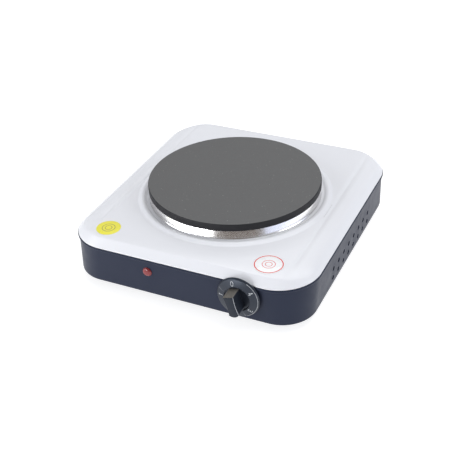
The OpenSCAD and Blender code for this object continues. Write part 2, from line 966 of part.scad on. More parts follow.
// Rubber gland for the mains cord, in the back wall
module cord_gland() {
    wall_y = body_d / 2 - wall_inset(gland_z);
    out_y = wall_y + 0.4;
    in_y = wall_y - sheet - 0.7;
    neck_r = gland_bore_r + 2;
    flange_r = gland_bore_r + 4;
    color(rubber_black) translate([gland_x, body_y, gland_z]) rotate([-90, 0, 0]) rotate_extrude() polygon([
        [gland_bore_r, in_y - gland_sleeve],
        [neck_r, in_y - gland_sleeve],
        [neck_r, in_y - 2.5],
        [flange_r, in_y - 2.5],
        [flange_r, in_y],
        [neck_r, in_y],
        [neck_r, out_y],
        [flange_r, out_y],
        [flange_r - 0.6, wall_y + gland_out],
        [gland_bore_r + gland_flare, wall_y + gland_out],
        [gland_bore_r, in_y - 0.5],
    ]);
}

// ---------------------------------------------------------------- labels

// Plain yellow disc at the front left
module heat_label() {
    color([0.93, 0.88, 0.25]) at_body() translate([left_label_at.x, left_label_at.y, top_z]) {
        cylinder(d = left_label_d, h = label_t);
    }
}

// Plain white disc at the front right
module care_label() {
    color([0.95, 0.90, 0.90]) at_body() translate([right_label_at.x, right_label_at.y, top_z]) {
        cylinder(d = right_label_d, h = label_t);
    }
}

// ---------------------------------------------------------------- nodes

top_cover();
body_shell();
base_plate();
base_screws();
cover_standoffs();
rubber_feet();
foot_screws();
foot_nuts();
hot_plate();
trim_ring();
heating_coil();
coil_insulation();
plate_backing();
centre_stud();
spacer_tube();
heat_shield();
clamp_strap();
stud_washer();
stud_nut();
element_bushes();
crimp_sleeves();
thermostat_bracket();
bracket_screws();
ceramic_stack();
stack_rivet();
contact_blades();
contact_buttons();
bimetal_strip();
spindle_bush();
pusher_pin();
spindle();
knob();
knob_spring();
pilot_lens();
neon_lamp();
lamp_retainer();
lamp_leads();
live_lead();
switched_lead();
neutral_lead();
earth_lead();
earth_screw();
mains_terminal();
mains_screws();
cord_gland();
heat_label();
care_label();
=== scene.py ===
import json
import math

import bmesh
import bpy
import numpy as np
from mathutils import Matrix, Vector


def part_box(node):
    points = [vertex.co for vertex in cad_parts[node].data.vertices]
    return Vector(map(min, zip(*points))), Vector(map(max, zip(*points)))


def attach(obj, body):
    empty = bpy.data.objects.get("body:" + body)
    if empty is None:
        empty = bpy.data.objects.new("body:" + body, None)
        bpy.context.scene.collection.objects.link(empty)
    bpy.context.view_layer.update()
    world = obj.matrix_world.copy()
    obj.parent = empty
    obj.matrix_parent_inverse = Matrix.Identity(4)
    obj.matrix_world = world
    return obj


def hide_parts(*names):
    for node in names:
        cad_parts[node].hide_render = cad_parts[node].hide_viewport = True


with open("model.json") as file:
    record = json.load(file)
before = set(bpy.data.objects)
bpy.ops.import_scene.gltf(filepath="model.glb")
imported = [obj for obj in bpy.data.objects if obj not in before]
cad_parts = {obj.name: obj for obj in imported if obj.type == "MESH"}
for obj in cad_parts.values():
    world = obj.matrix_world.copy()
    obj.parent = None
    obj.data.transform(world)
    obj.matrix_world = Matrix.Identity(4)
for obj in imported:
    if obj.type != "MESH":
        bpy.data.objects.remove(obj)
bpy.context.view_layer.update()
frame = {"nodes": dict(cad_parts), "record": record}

# Lengths below are in millimetres, in the frame of the CAD model: +Z up, front towards -Y.
MM = 0.001


def box_mm(node):
    """Lowest and highest corner of a CAD node in millimetres."""
    low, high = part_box(node)
    return np.array(low) / MM, np.array(high) / MM


# ------------------------------------------------------------------ sizes taken from the CAD model

RIM_OUT = 0.3  # the black rim stands this far outside the cover's edge
SHELL_LOW, SHELL_HIGH = box_mm("body_shell")
MID_Y = (SHELL_LOW[1] + SHELL_HIGH[1]) / 2
HALF_W = (SHELL_HIGH[0] - SHELL_LOW[0]) / 2 - RIM_OUT
HALF_D = (SHELL_HIGH[1] - SHELL_LOW[1]) / 2 - RIM_OUT
FLOOR_Z = SHELL_LOW[2]
SEAM_Z = SHELL_HIGH[2] + 0.1
SHELL_H = SEAM_Z - FLOOR_Z
PLATE_LOW, PLATE_HIGH = box_mm("hot_plate")
BURNER = np.array([0.0, (PLATE_LOW[1] + PLATE_HIGH[1]) / 2])
PLATE_R = (PLATE_HIGH[0] - PLATE_LOW[0]) / 2
PLATE_Z = PLATE_HIGH[2]
COVER_RISE = box_mm("heat_label")[0][2] - SEAM_Z  # the label lies on the cover's flat
KNOB_LOW, KNOB_HIGH = box_mm("knob")
AXIS_X = (KNOB_LOW[0] + KNOB_HIGH[0]) / 2
AXIS_Z = (KNOB_LOW[2] + KNOB_HIGH[2]) / 2
KNOB_R = (KNOB_HIGH[0] - KNOB_LOW[0]) / 2
KNOB_BACK = KNOB_HIGH[1]
KNOB_H = KNOB_HIGH[1] - KNOB_LOW[1]
LENS_LOW, LENS_HIGH = box_mm("pilot_lens")
LENS_X = (LENS_LOW[0] + LENS_HIGH[0]) / 2
GLAND_LOW, GLAND_HIGH = box_mm("cord_gland")
GLAND_X = (GLAND_LOW[0] + GLAND_HIGH[0]) / 2
GLAND_Z = (GLAND_LOW[2] + GLAND_HIGH[2]) / 2

# ------------------------------------------------------------------ mesh helpers


def smoothstep(t):
    t = np.clip(t, 0.0, 1.0)
    return t * t * (3 - 2 * t)


def piece(name, verts, faces, material, body="housing", slot=None, stands_for=(), sharp=35):
    """A mesh piece from millimetre points, smooth except across edges sharper than `sharp` degrees."""
    mesh = bpy.data.meshes.new(name)
    points = [tuple(v) for v in np.asarray(verts, float) * MM]
    mesh.from_pydata(points, [], [tuple(map(int, f)) for f in faces])
    mesh.validate()
    finish_mesh(mesh, sharp)
    return place(bpy.data.objects.new(name, mesh), material, body, stands_for)


def finish_mesh(mesh, sharp):
    """Outward normals, smooth faces and sharp edges."""
    bm = bmesh.new()
    bm.from_mesh(mesh)
    bmesh.ops.recalc_face_normals(bm, faces=bm.faces)
    if bm.calc_volume(signed=True) < 0:
        bmesh.ops.reverse_faces(bm, faces=bm.faces)
    bm.to_mesh(mesh)
    bm.free()
    mesh.shade_smooth()
    mesh.set_sharp_from_angle(angle=math.radians(sharp))


def place(obj, material, body, stands_for):
    """Links a piece, gives it its material, and says its body and the CAD nodes it replaces."""
    bpy.context.scene.collection.objects.link(obj)
    obj.data.materials.clear()
    obj.data.materials.append(material)
    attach(obj, body)
    if stands_for:
        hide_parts(*stands_for)
    return obj


def grid_faces(rows, cols, close_rows=False):
    """Quads of a grid of rows x cols points, closed round its columns and, if asked, its rows."""
    faces = []
    for i in range(rows if close_rows else rows - 1):
        for j in range(cols):
            a, b = i * cols + j, i * cols + (j + 1) % cols
            c, d = ((i + 1) % rows) * cols + (j + 1) % cols, ((i + 1) % rows) * cols + j
            faces.append((a, b, c, d))
    return faces


def joined(parts):
    """One list of points and one of faces from several pairs of them."""
    verts, faces = [], []
    for points, its_faces in parts:
        faces += [tuple(i + len(verts) for i in f) for f in its_faces]
        verts += [tuple(p) for p in points]
    return verts, faces


def lathe(profile, steps, centre=(0, 0, 0)):
    """Points and faces of a (radius, height) profile turned about Z. A zero radius is a pole."""
    verts, faces, rings = [], [], []
    for r, z in profile:
        if r < 1e-6:
            rings.append([len(verts)])
            verts.append((0, 0, z))
        else:
            rings.append(list(range(len(verts), len(verts) + steps)))
            for k in range(steps):
                a = 2 * math.pi * k / steps
                verts.append((r * math.cos(a), r * math.sin(a), z))
    for low, high in zip(rings, rings[1:]):
        if len(low) == 1 and len(high) == 1:
            continue
        for k in range(steps):
            m = (k + 1) % steps
            if len(low) == 1:
                faces.append((low[0], high[k], high[m]))
            elif len(high) == 1:
                faces.append((low[k], low[m], high[0]))
            else:
                faces.append((low[k], low[m], high[m], high[k]))
    return np.array(verts, float) + np.array(centre), faces


def rounded(points, radius, steps=5):
    """A polyline with its corners rounded. A point may carry its own radius as a third number."""
    out = []
    n = len(points)
    for i, p in enumerate(points):
        r = p[2] if len(p) > 2 else radius
        here = np.array(p[:2], float)
        if i in (0, n - 1) or r <= 0:
            out.append(here)
            continue
        before, after = np.array(points[i - 1][:2], float), np.array(points[i + 1][:2], float)
        u, w = before - here, after - here
        lu, lw = np.linalg.norm(u), np.linalg.norm(w)
        u, w = u / lu, w / lw
        half = math.acos(max(-1, min(1, float(u @ w)))) / 2
        if half > math.radians(88):
            out.append(here)
            continue
        cut = min(r / math.tan(half), 0.48 * lu, 0.48 * lw)
        r = cut * math.tan(half)
        mid = here + (u + w) / np.linalg.norm(u + w) * (r / math.sin(half))
        start, end = here + u * cut - mid, here + w * cut - mid
        a0, a1 = math.atan2(start[1], start[0]), math.atan2(end[1], end[0])
        sweep = (a1 - a0 + math.pi) % (2 * math.pi) - math.pi
        for k in range(steps + 1):
            a = a0 + sweep * k / steps
            out.append(mid + r * np.array([math.cos(a), math.sin(a)]))
    return out


def outline(offset, corner, n_corner, n_side):
    """Points and outward normals anticlockwise round the body's rounded rectangle, grown by offset."""
    w, d = HALF_W + offset, HALF_D + offset
    r = max(corner, 0.2)
    points, normals = [], []
    corners = [(w - r, d - r, 0), (-(w - r), d - r, 90), (-(w - r), -(d - r), 180), (w - r, -(d - r), 270)]
    for q, (cx, cy, start) in enumerate(corners):
        for k in range(n_corner + 1):
            a = math.radians(start + 90 * k / n_corner)
            points.append((cx + r * math.cos(a), cy + r * math.sin(a)))
            normals.append((math.cos(a), math.sin(a)))
        nx, ny, nstart = corners[(q + 1) % 4]
        a = math.radians(start + 90)
        p0 = np.array(points[-1])
        b = math.radians(nstart)
        p1 = np.array([nx + r * math.cos(b), ny + r * math.sin(b)])
        for k in range(1, n_side):
            points.append(tuple(p0 + (p1 - p0) * k / n_side))
            normals.append((math.cos(a), math.sin(a)))
    return np.array(points), np.array(normals)


def on_front(points, x, z, depth):
    """Points modelled with +Z as the way out of the front wall, moved to x, z; their zero is at y = depth."""
    p = np.asarray(points, float)
    return np.stack([x + p[:, 0], depth - p[:, 2], z + p[:, 1]], axis=1)


# ------------------------------------------------------------------ material helpers


class Nodes:
    """A small helper to wire one procedural material."""

    def __init__(self, name):
        self.mat = bpy.data.materials.new(name)
        self.mat.use_nodes = True
        self.tree = self.mat.node_tree
        self.bsdf = next(n for n in self.tree.nodes if n.type == "BSDF_PRINCIPLED")
        self.coord = self.tree.nodes.new("ShaderNodeTexCoord").outputs["Object"]

    def new(self, kind, **inputs):
        node = self.tree.nodes.new(kind)
        for key, value in inputs.items():
            name = key.replace("_", " ")
            if isinstance(value, bpy.types.NodeSocket):
                self.tree.links.new(value, node.inputs[name])
            else:
                node.inputs[name].default_value = value
        return node

    def link(self, a, b):
        self.tree.links.new(a, b)

    def noise(self, scale, detail=2.0, rough=0.5, coord=None):
        node = self.new("ShaderNodeTexNoise", Scale=scale, Detail=detail, Roughness=rough)
        self.link(coord or self.coord, node.inputs["Vector"])
        return node.outputs["Fac"]

    def spread(self, fac, low, high, from_low=0.0, from_high=1.0):
        node = self.tree.nodes.new("ShaderNodeMapRange")
        node.inputs["From Min"].default_value = from_low
        node.inputs["From Max"].default_value = from_high
        node.inputs["To Min"].default_value = low
        node.inputs["To Max"].default_value = high
        self.link(fac, node.inputs["Value"])
        return node.outputs["Result"]

    def mix(self, fac, a, b):
        node = self.tree.nodes.new("ShaderNodeMix")
        node.data_type = "RGBA"  # its colour inputs are the seventh and eighth
        self.link(fac, node.inputs[0])
        for socket, value in ((node.inputs[6], a), (node.inputs[7], b)):
            if isinstance(value, bpy.types.NodeSocket):
                self.link(value, socket)
            else:
                socket.default_value = (*value, 1)
        return node.outputs[2]

    def bump(self, height, strength, distance, normal=None):
        node = self.new("ShaderNodeBump", Strength=strength, Distance=distance)
        self.link(height, node.inputs["Height"])
        if normal is not None:
            self.link(normal, node.inputs["Normal"])
        return node.outputs["Normal"]

    def mapped(self, location=(0, 0, 0), scale=(1, 1, 1)):
        node = self.tree.nodes.new("ShaderNodeMapping")
        node.inputs["Location"].default_value = location
        node.inputs["Scale"].default_value = scale
        self.link(self.coord, node.inputs["Vector"])
        return node.outputs["Vector"]

    def put(self, socket, value):
        if isinstance(value, bpy.types.NodeSocket):
            self.link(value, self.bsdf.inputs[socket])
        elif isinstance(value, (tuple, list)) and len(value) == 3:
            self.bsdf.inputs[socket].default_value = (*value, 1)
        else:
            self.bsdf.inputs[socket].default_value = value


def shade(colour, k):
    return tuple(min(1.0, c * k) for c in colour)


def worn(
    name, colour, rough, metallic=0.0, mottle=0.06, mottle_scale=40.0,
    grain=900.0, grain_depth=0.02, rough_swing=0.08, **sockets,
):
    """A plain finish with slow colour mottling, uneven roughness and a fine grain."""
    n = Nodes(name)
    slow = n.noise(mottle_scale, 3, 0.55)
    fine = n.noise(grain, 2, 0.6)
    n.put("Base Color", n.mix(slow, shade(colour, 1 - mottle), shade(colour, 1 + mottle)))
    patches = n.noise(mottle_scale * 3, 4, 0.6)
    n.put("Roughness", n.spread(patches, rough - rough_swing, rough + rough_swing, 0.3, 0.7))
    n.put("Normal", n.bump(fine, 0.35, grain_depth * MM))
    n.put("Metallic", metallic)
    for key, value in sockets.items():
        n.put(key.replace("_", " "), value)
    return n.mat


# ------------------------------------------------------------------ materials


def enamel_material():
    """White vitreous enamel: glossy, faintly clouded, with a slight orange peel."""
    n = Nodes("enamel_white")
    cloud = n.noise(9, 3, 0.5)
    n.put("Base Color", n.mix(cloud, (0.725, 0.73, 0.755), (0.755, 0.76, 0.785)))
    n.put("Roughness", n.spread(n.noise(30, 1, 0.5), 0.18, 0.26, 0.3, 0.7))
    n.put("Normal", n.bump(n.noise(60, 1, 0.4), 0.10, 0.4 * MM))
    n.put("Specular IOR Level", 0.5)
    return n.mat


def body_paint_material():
    """Satin stoving paint on the body: blue-black with a fine even texture."""
    n = Nodes("body_paint_black")
    cloud = n.noise(14, 3, 0.5)
    n.put("Base Color", n.mix(cloud, (0.019, 0.023, 0.041), (0.023, 0.028, 0.048)))
    n.put("Roughness", n.spread(n.noise(110, 4, 0.6), 0.36, 0.46, 0.3, 0.7))
    fine = n.bump(n.noise(2600, 2, 0.6), 0.25, 0.03 * MM)
    n.put("Normal", n.bump(n.noise(420, 2, 0.5), 0.18, 0.06 * MM, fine))
    n.put("IOR", 1.3)
    n.put("Specular IOR Level", 0.40)
    n.put("Specular Tint", (0.74, 0.82, 1.0))
    return n.mat


def cast_iron_material():
    """Cast iron with a heat-proof black coating: matte, sandy, with faint turning marks and light specks."""
    n = Nodes("cast_iron_coated")
    centred = n.mapped(location=(-BURNER[0] * MM, -BURNER[1] * MM, 0))
    separate = n.tree.nodes.new("ShaderNodeSeparateXYZ")
    n.link(centred, separate.inputs[0])
    flat = n.tree.nodes.new("ShaderNodeCombineXYZ")
    n.link(separate.outputs[0], flat.inputs[0])
    n.link(separate.outputs[1], flat.inputs[1])
    length = n.tree.nodes.new("ShaderNodeVectorMath")
    length.operation = "LENGTH"
    n.link(flat.outputs[0], length.inputs[0])
    radius = length.outputs["Value"]
    along = n.tree.nodes.new("ShaderNodeCombineXYZ")
    n.link(radius, along.inputs[0])
    rings = n.noise(900, 3, 0.7, along.outputs[0])
    cloud = n.noise(26, 4, 0.6)
    base = n.mix(cloud, (0.103, 0.103, 0.102), (0.130, 0.130, 0.128))
    base = n.mix(n.spread(rings, 0, 0.35, 0.4, 0.75), base, (0.140, 0.140, 0.138))
    grain = n.noise(2200, 3, 0.7)
    base = n.mix(n.spread(grain, 0, 0.55, 0.35, 0.75), base, (0.072, 0.072, 0.071))
    speck = n.noise(700, 1, 0.5)
    base = n.mix(n.spread(speck, 0, 1, 0.765, 0.80), base, (0.33, 0.33, 0.32))
    n.put("Base Color", base)
    n.put("Roughness", n.spread(cloud, 0.62, 0.78, 0.3, 0.7))
    sandy = n.bump(n.noise(1500, 4, 0.7), 0.5, 0.10 * MM)
    n.put("Normal", n.bump(rings, 0.15, 0.06 * MM, sandy))
    n.put("Specular IOR Level", 0.4)
    return n.mat


def rim_iron_material():
    """The plate's machined side: darker and a little smoother than its face."""
    dark = (0.013, 0.013, 0.015)
    return worn("cast_iron_side", dark, 0.55, 0.0, 0.15, 60, 1500, 0.05, 0.07, Specular_IOR_Level=0.3)


def chrome_material():
    """Polished stainless ring with fine marks and a slight heat tint."""
    n = Nodes("ring_bright_steel")
    mark = n.noise(500, 3, 0.65)
    tint = n.noise(18, 2, 0.5)
    n.put("Base Color", n.mix(tint, (0.86, 0.86, 0.87), (0.80, 0.775, 0.74)))
    n.put("Metallic", 1.0)
    n.put("Roughness", n.spread(mark, 0.17, 0.24, 0.3, 0.7))
    n.put("Normal", n.bump(n.noise(110, 2, 0.5), 0.03, 0.10 * MM))
    return n.mat


def knob_material(name, sheen):
    """Moulded phenolic: near-black with a soft sheen, and painted highlights that lighten its sharp edges."""
    n = Nodes(name)
    geometry = n.tree.nodes.new("ShaderNodeNewGeometry").outputs["Pointiness"]
    # painted highlight: sharp edges, found by pointiness, are mixed towards a light grey where light would
    # catch them
    edge = n.spread(geometry, 0, 1, 0.515, 0.57)
    cloud = n.noise(120, 3, 0.6)
    base = n.mix(cloud, (0.007, 0.009, 0.014), (0.011, 0.014, 0.021))
    n.put("Base Color", n.mix(edge, base, (0.10, 0.105, 0.115)))
    n.put("Roughness", n.spread(n.noise(300, 3, 0.6), 0.30, 0.42, 0.3, 0.7))
    n.put("Normal", n.bump(n.noise(2400, 2, 0.6), 0.3, 0.025 * MM))
    n.put("Specular IOR Level", sheen)
    n.put("Specular Tint", (0.76, 0.84, 1.0))
    return n.mat


def lens_material():
    """Clear red plastic of the pilot lamp."""
    n = Nodes("lens_red_plastic")
    n.put("Base Color", n.mix(n.noise(700, 2, 0.5), (0.23, 0.012, 0.016), (0.32, 0.016, 0.020)))
    n.put("Roughness", n.spread(n.noise(400, 2, 0.5), 0.12, 0.22, 0.3, 0.7))
    n.put("Normal", n.bump(n.noise(900, 2, 0.5), 0.15, 0.05 * MM))
    n.put("Transmission Weight", 0.25)
    n.put("Coat Weight", 0.35)
    n.put("Coat Roughness", 0.08)
    return n.mat


def galvanised_material():
    """Galvanised sheet: spangles, soft scratches and small stains."""
    n = Nodes("galvanised_sheet")
    spangle = n.tree.nodes.new("ShaderNodeTexVoronoi")
    spangle.inputs["Scale"].default_value = 160
    n.link(n.coord, spangle.inputs["Vector"])
    tone = n.new("ShaderNodeRGBToBW", Color=spangle.outputs["Color"]).outputs["Val"]
    base = n.mix(tone, (0.42, 0.43, 0.44), (0.60, 0.61, 0.62))
    stain = n.noise(22, 4, 0.6)
    n.put("Base Color", n.mix(n.spread(stain, 0, 0.5, 0.55, 0.8), base, (0.33, 0.32, 0.31)))
    n.put("Metallic", 1.0)
    n.put("Roughness", n.spread(tone, 0.30, 0.48))
    scratch = n.noise(260, 3, 0.7, n.mapped(scale=(1, 12, 1)))
    n.put("Normal", n.bump(scratch, 0.12, 0.05 * MM))
    return n.mat


enamel = enamel_material()
body_paint = body_paint_material()
cast_iron = cast_iron_material()
rim_iron = rim_iron_material()
chrome = chrome_material()
knob_plastic = knob_material("knob_black_plastic", 0.34)
dial_plastic = knob_material("knob_dial_plastic", 0.55)
# painted highlight: light grey for thin lines where light catches the knob's rounded edges
painted_edge_highlight = worn("knob_painted_edge_highlight", (0.40, 0.41, 0.43), 0.5, 0.0, 0.15, 260, 1800, 0.02, 0.08)
# painted light: a lighter brownish grey for the grip's upward end face, standing for the light from above
painted_end_light = worn("knob_painted_end_light", (0.10, 0.092, 0.080), 0.55, 0.0, 0.12, 260, 1800, 0.03, 0.08)
lens_red = lens_material()
galvanised = galvanised_material()
dial_paint = worn("dial_paint", (0.62, 0.64, 0.66), 0.5, 0.0, 0.10, 300, 1800, 0.02)
rubber = worn("foot_rubber", (0.022, 0.022, 0.023), 0.80, 0.0, 0.2, 80, 1100, 0.08, 0.1)
gland_rubber = worn("gland_rubber", (0.020, 0.020, 0.021), 0.65, 0.0, 0.2, 90, 1300, 0.05, 0.1)
label_yellow = worn(
    "label_yellow_film", (0.80, 0.74, 0.055), 0.32, 0.0, 0.05, 70, 900, 0.02, 0.06, Coat_Weight=0.3
)
label_white = worn(
    "label_white_film", (0.84, 0.84, 0.84), 0.30, 0.0, 0.03, 70, 900, 0.02, 0.06, Coat_Weight=0.3
)
label_red = worn("label_red_ink", (0.66, 0.05, 0.04), 0.35, 0.0, 0.10, 200, 900, 0.01)
label_grey = worn("label_grey_ink", (0.22, 0.20, 0.12), 0.45, 0.0, 0.15, 200, 900, 0.01)

FINISHES = {
    "fastener_steel": worn("zinc_plated_steel", (0.62, 0.63, 0.64), 0.30, 1.0, 0.10, 120, 900, 0.03, 0.10),
    "bracket_steel": worn("bracket_steel", (0.48, 0.48, 0.49), 0.42, 1.0, 0.14, 90, 700, 0.04, 0.12),
    "coil_sheath": worn("coil_sheath", (0.16, 0.13, 0.11), 0.62, 0.7, 0.25, 150, 900, 0.05, 0.12),
    "porcelain": worn("porcelain_glazed", (0.74, 0.70, 0.60), 0.28, 0.0, 0.06, 60, 600, 0.03, 0.08),
    "brass_parts": worn("brass_parts", (0.66, 0.46, 0.17), 0.32, 1.0, 0.12, 120, 900, 0.03, 0.10),
    "contact_silver": worn("contact_silver", (0.80, 0.79, 0.76), 0.28, 1.0, 0.10, 300, 1500, 0.02, 0.08),
    "bimetal": worn("bimetal_strip", (0.50, 0.40, 0.30), 0.36, 1.0, 0.16, 160, 900, 0.03, 0.10),
    "spindle_steel": worn("spindle_steel", (0.58, 0.58, 0.59), 0.26, 1.0, 0.10, 200, 1200, 0.03, 0.08),
    "lamp_glass": worn(
        "lamp_glass", (0.80, 0.56, 0.42), 0.12, 0.0, 0.06, 200, 900, 0.01, 0.04, Transmission_Weight=0.4
    ),
    "sleeve_white": worn("sleeve_white", (0.70, 0.69, 0.64), 0.50, 0.0, 0.06, 200, 1600, 0.06, 0.08),
    "sleeve_brown": worn("sleeve_brown", (0.20, 0.085, 0.04), 0.42, 0.0, 0.10, 200, 1200, 0.03, 0.08),
    "sleeve_blue": worn("sleeve_blue", (0.04, 0.11, 0.42), 0.42, 0.0, 0.10, 200, 1200, 0.03, 0.08),
    "sleeve_green": worn("sleeve_green", (0.09, 0.33, 0.05), 0.42, 0.0, 0.10, 200, 1200, 0.03, 0.08),
    "terminal_plastic": worn("terminal_plastic", (0.68, 0.65, 0.56), 0.40, 0.0, 0.05, 120, 900, 0.03, 0.08),
    "base_zinc": galvanised,
}

# ------------------------------------------------------------------ cover

CORNER = 37.0  # corner radius of the cover's edge
SHOULDER = 7.4  # width of the sloping shoulder
EDGE_H = 0.95  # height of the cover's edge above the seam
EDGE_IN = 0.5  # the cover's edge stands this far inside the outline
START = 9.5  # the cover's flat meets its edge band this far inside the outline
HOLE_R = PLATE_R - 2.0  # the burner's hole
CREASE_X = 92.0  # the two long creases
CREASE_DEPTH = 0.85
CREASE_W = 2.4
# radius from the burner's axis and height over the flat, through the raised bead
BEAD = [
    (79.4, 0.0), (80.8, 0.0), (82.6, 1.05), (84.6, 1.45),
    (88.8, -0.33), (91.0, -0.40), (98.0, -0.2), (106.0, 0.0),
]


def bead_height(r):
    """Height of the raised bead about the burner, from a smooth curve through its points."""
    x = np.array([b[0] for b in BEAD])
    y = np.array([b[1] for b in BEAD])
    slopes = np.gradient(y, x)
    slopes[0] = slopes[-1] = 0
    i = np.clip(np.searchsorted(x, r) - 1, 0, len(x) - 2)
    h = x[i + 1] - x[i]
    t = np.clip((r - x[i]) / h, 0, 1)
    a = (2 * t**3 - 3 * t**2 + 1) * y[i] + (t**3 - 2 * t**2 + t) * h * slopes[i]
    b = (-2 * t**3 + 3 * t**2) * y[i + 1] + (t**3 - t**2) * h * slopes[i + 1]
    return a + b


def cover_height(p, inside, side):
    """Height of the cover above the seam at body points p, `inside` millimetres within the outline.

    `side` goes from 0 along the front and back to 1 along the sides, where the shoulder's break is softer.
    """
    x, y = p[:, 0], p[:, 1]
    from_burner = np.hypot(x - BURNER[0], y + MID_Y - BURNER[1])
    over = np.abs(x) - CREASE_X
    # the creases grow shallower towards their ends
    fade = (0.65 + 0.35 * smoothstep((92 - np.abs(y)) / 14)) * smoothstep((HALF_D - 8 - np.abs(y)) / 9)
    groove = CREASE_DEPTH * np.exp(-((over / CREASE_W) ** 2)) * fade
    # the flat falls a little outside the creases, and again near the shoulder
    slope = 0.075 * np.clip(over, 0, None) * smoothstep(over / 3)
    roll = 0.35 * np.clip(1 - (inside - SHOULDER) / 9, 0, 1) ** 2
    flat = COVER_RISE + bead_height(from_burner) * smoothstep(inside / 9) - groove - slope - roll
    plane = EDGE_H + (COVER_RISE - EDGE_H) * inside / SHOULDER
    # the lower of the flat and the shoulder's plane, with a rounded break between them
    soft = 0.5 + 2.5 * side
    return (flat + plane) / 2 - np.sqrt((flat - plane) ** 2 + soft**2) / 2


def make_cover():
    n_corner, n_side = 48, 90
    inner, normals = outline(-START, CORNER - START, n_corner, n_side)
    side = smoothstep(np.abs(normals[:, 0]) ** 1.5)
    centre = BURNER - np.array([0, MID_Y])
    away = inner - centre
    away /= np.linalg.norm(away, axis=1)[:, None]
    hole = centre + away * HOLE_R
    rows = []
    # the lip that turns down into the burner's hole
    lip = [(HOLE_R - 0.9, -2.2), (HOLE_R - 0.9, -1.0), (HOLE_R - 0.6, -0.35)]
    for r, z in lip:
        p = centre + away * r
        rows.append(np.column_stack([p, np.full(len(p), COVER_RISE + z)]))
    # the flat, with closer rows near the hole, then the band with the shoulder
    flat_rows, band_rows = 100, 42
    for k in range(flat_rows + 1):
        t = k / flat_rows
        t = 0.75 * t + 0.25 * t * t
        p = hole + (inner - hole) * t
        inside = START + (np.linalg.norm(inner - hole, axis=1) * (1 - t)) * 0.8
        rows.append(np.column_stack([p, cover_height(p, inside, side)]))
    for k in range(1, band_rows + 1):
        u = EDGE_IN + (START - EDGE_IN) * (1 - k / band_rows)
        p, _ = outline(-u, CORNER - u, n_corner, n_side)
        rows.append(np.column_stack([p, cover_height(p, np.full(len(p), u), side)]))
    # the rounded edge, then the skirt that turns in and down inside the body
    last = rows[-1][:, 2]
    for out, drop in ((0.10, 0.10), (0.17, 0.26), (0.20, 0.45)):
        p, _ = outline(out - EDGE_IN, CORNER + out - EDGE_IN, n_corner, n_side)
        rows.append(np.column_stack([p, last - drop]))
    skirt = [
        (0.17 - EDGE_IN, 0.16), (0.08 - EDGE_IN, 0.05), (-0.1 - EDGE_IN, 0.0), (-1.2, 0.0), (-2.2, 0.0),
        (-2.4, -0.2), (-2.4, -5.8), (-2.6, -6.0), (-3.1, -6.0), (-3.2, -5.8), (-3.2, 0.2),
    ]
    for out, z in skirt:
        p, _ = outline(out, CORNER + out, n_corner, n_side)
        rows.append(np.column_stack([p, np.full(len(p), z)]))
    verts = np.vstack(rows) + np.array([0, MID_Y, SEAM_Z])
    return piece(
        "cover_enamel", verts, grid_faces(len(rows), len(inner)), enamel,
        slot="cover_enamel", stands_for=["top_cover"], sharp=50,
    )


# ------------------------------------------------------------------ body shell

WALL_IN = 0.9  # top of the wall inside the outline
WALL_LEAN = 1.0  # how far the wall leans in down to its foot
SHEET = 0.8
FLANGE = 16.0
BOTTOM_CORNER = 30.5
VENT_DROPS = (19.0, 28.4)  # below the seam, upper and lower row
VENTS, VENT_PITCH, VENT_R = 8, 13.5, 2.0
# x and radius of the holes for the spindle, its two screws and the lamp
FRONT_HOLES = ((AXIS_X, 5.2), (AXIS_X - 11.5, 1.7), (AXIS_X + 11.5, 1.7), (LENS_X, 3.9))
GLAND_HOLE_R = 5.6
BASE_SCREW_R = 2.3
BASE_SCREW_IN = 20.2  # the base screws stand this far inside both walls
REACH = 5  # how far a plug that cuts a hole stands out on either side


def wall_at(z):
    """How far the outer face of the wall stands inside the outline at height z."""
    return WALL_IN + WALL_LEAN * (SEAM_Z - z) / SHELL_H


def solid_mesh(name, verts, faces):
    """A mesh with outward normals from millimetre points."""
    mesh = bpy.data.meshes.new(name)
    mesh.from_pydata([tuple(v) for v in np.asarray(verts) * MM], [], faces)
    bm = bmesh.new()
    bm.from_mesh(mesh)
    bmesh.ops.recalc_face_normals(bm, faces=bm.faces)
    bm.to_mesh(mesh)
    bm.free()
    return mesh


def plug(r, low, high, flare=0.0, flare_at=None):
    """Profile of a closed cylinder along its own Z, optionally flared where it meets the outer face."""
    profile = [(0, low), (r, low)]
    if flare:
        profile += [(r, flare_at - flare), (r + flare, flare_at), (r + flare, high)]
    else:
        profile += [(r, high)]
    return profile + [(0, high)]


def shell_skin():
    """The sheet's cross-section, rolled rim to bottom flange, swept round the body."""
    bottom = -WALL_IN - WALL_LEAN
    profile = rounded(
        [
            (-WALL_IN - SHEET, -2.6, 0.0),
            (-1.75, -1.6, 0.4),
            (-1.1, -0.15, 0.7),
            (RIM_OUT, -0.15, 0.75),
            (RIM_OUT, -2.0, 0.75),
            (-WALL_IN, -2.7, 0.5),
            (bottom, -SHELL_H, 1.5),
            (bottom - FLANGE, -SHELL_H, 0.0),
            (bottom - FLANGE, -SHELL_H + SHEET, 0.0),
            (bottom - SHEET, -SHELL_H + SHEET, 0.7),
            (-WALL_IN - SHEET, -2.6, 0.0),
        ],
        0.4,
    )[:-1]
    rows = []
    for u, z in profile:
        t = np.clip((-z - 2) / (SHELL_H - 2), 0, 1)
        upright = CORNER * (1 - t) + (BOTTOM_CORNER - bottom) * t
        p, _ = outline(u, upright + u, 30, 6)
        rows.append(np.column_stack([p, np.full(len(p), z)]))
    verts = np.vstack(rows) + np.array([0, MID_Y, SEAM_Z])
    return solid_mesh("shell_raw", verts, grid_faces(len(rows), len(rows[0]), close_rows=True))


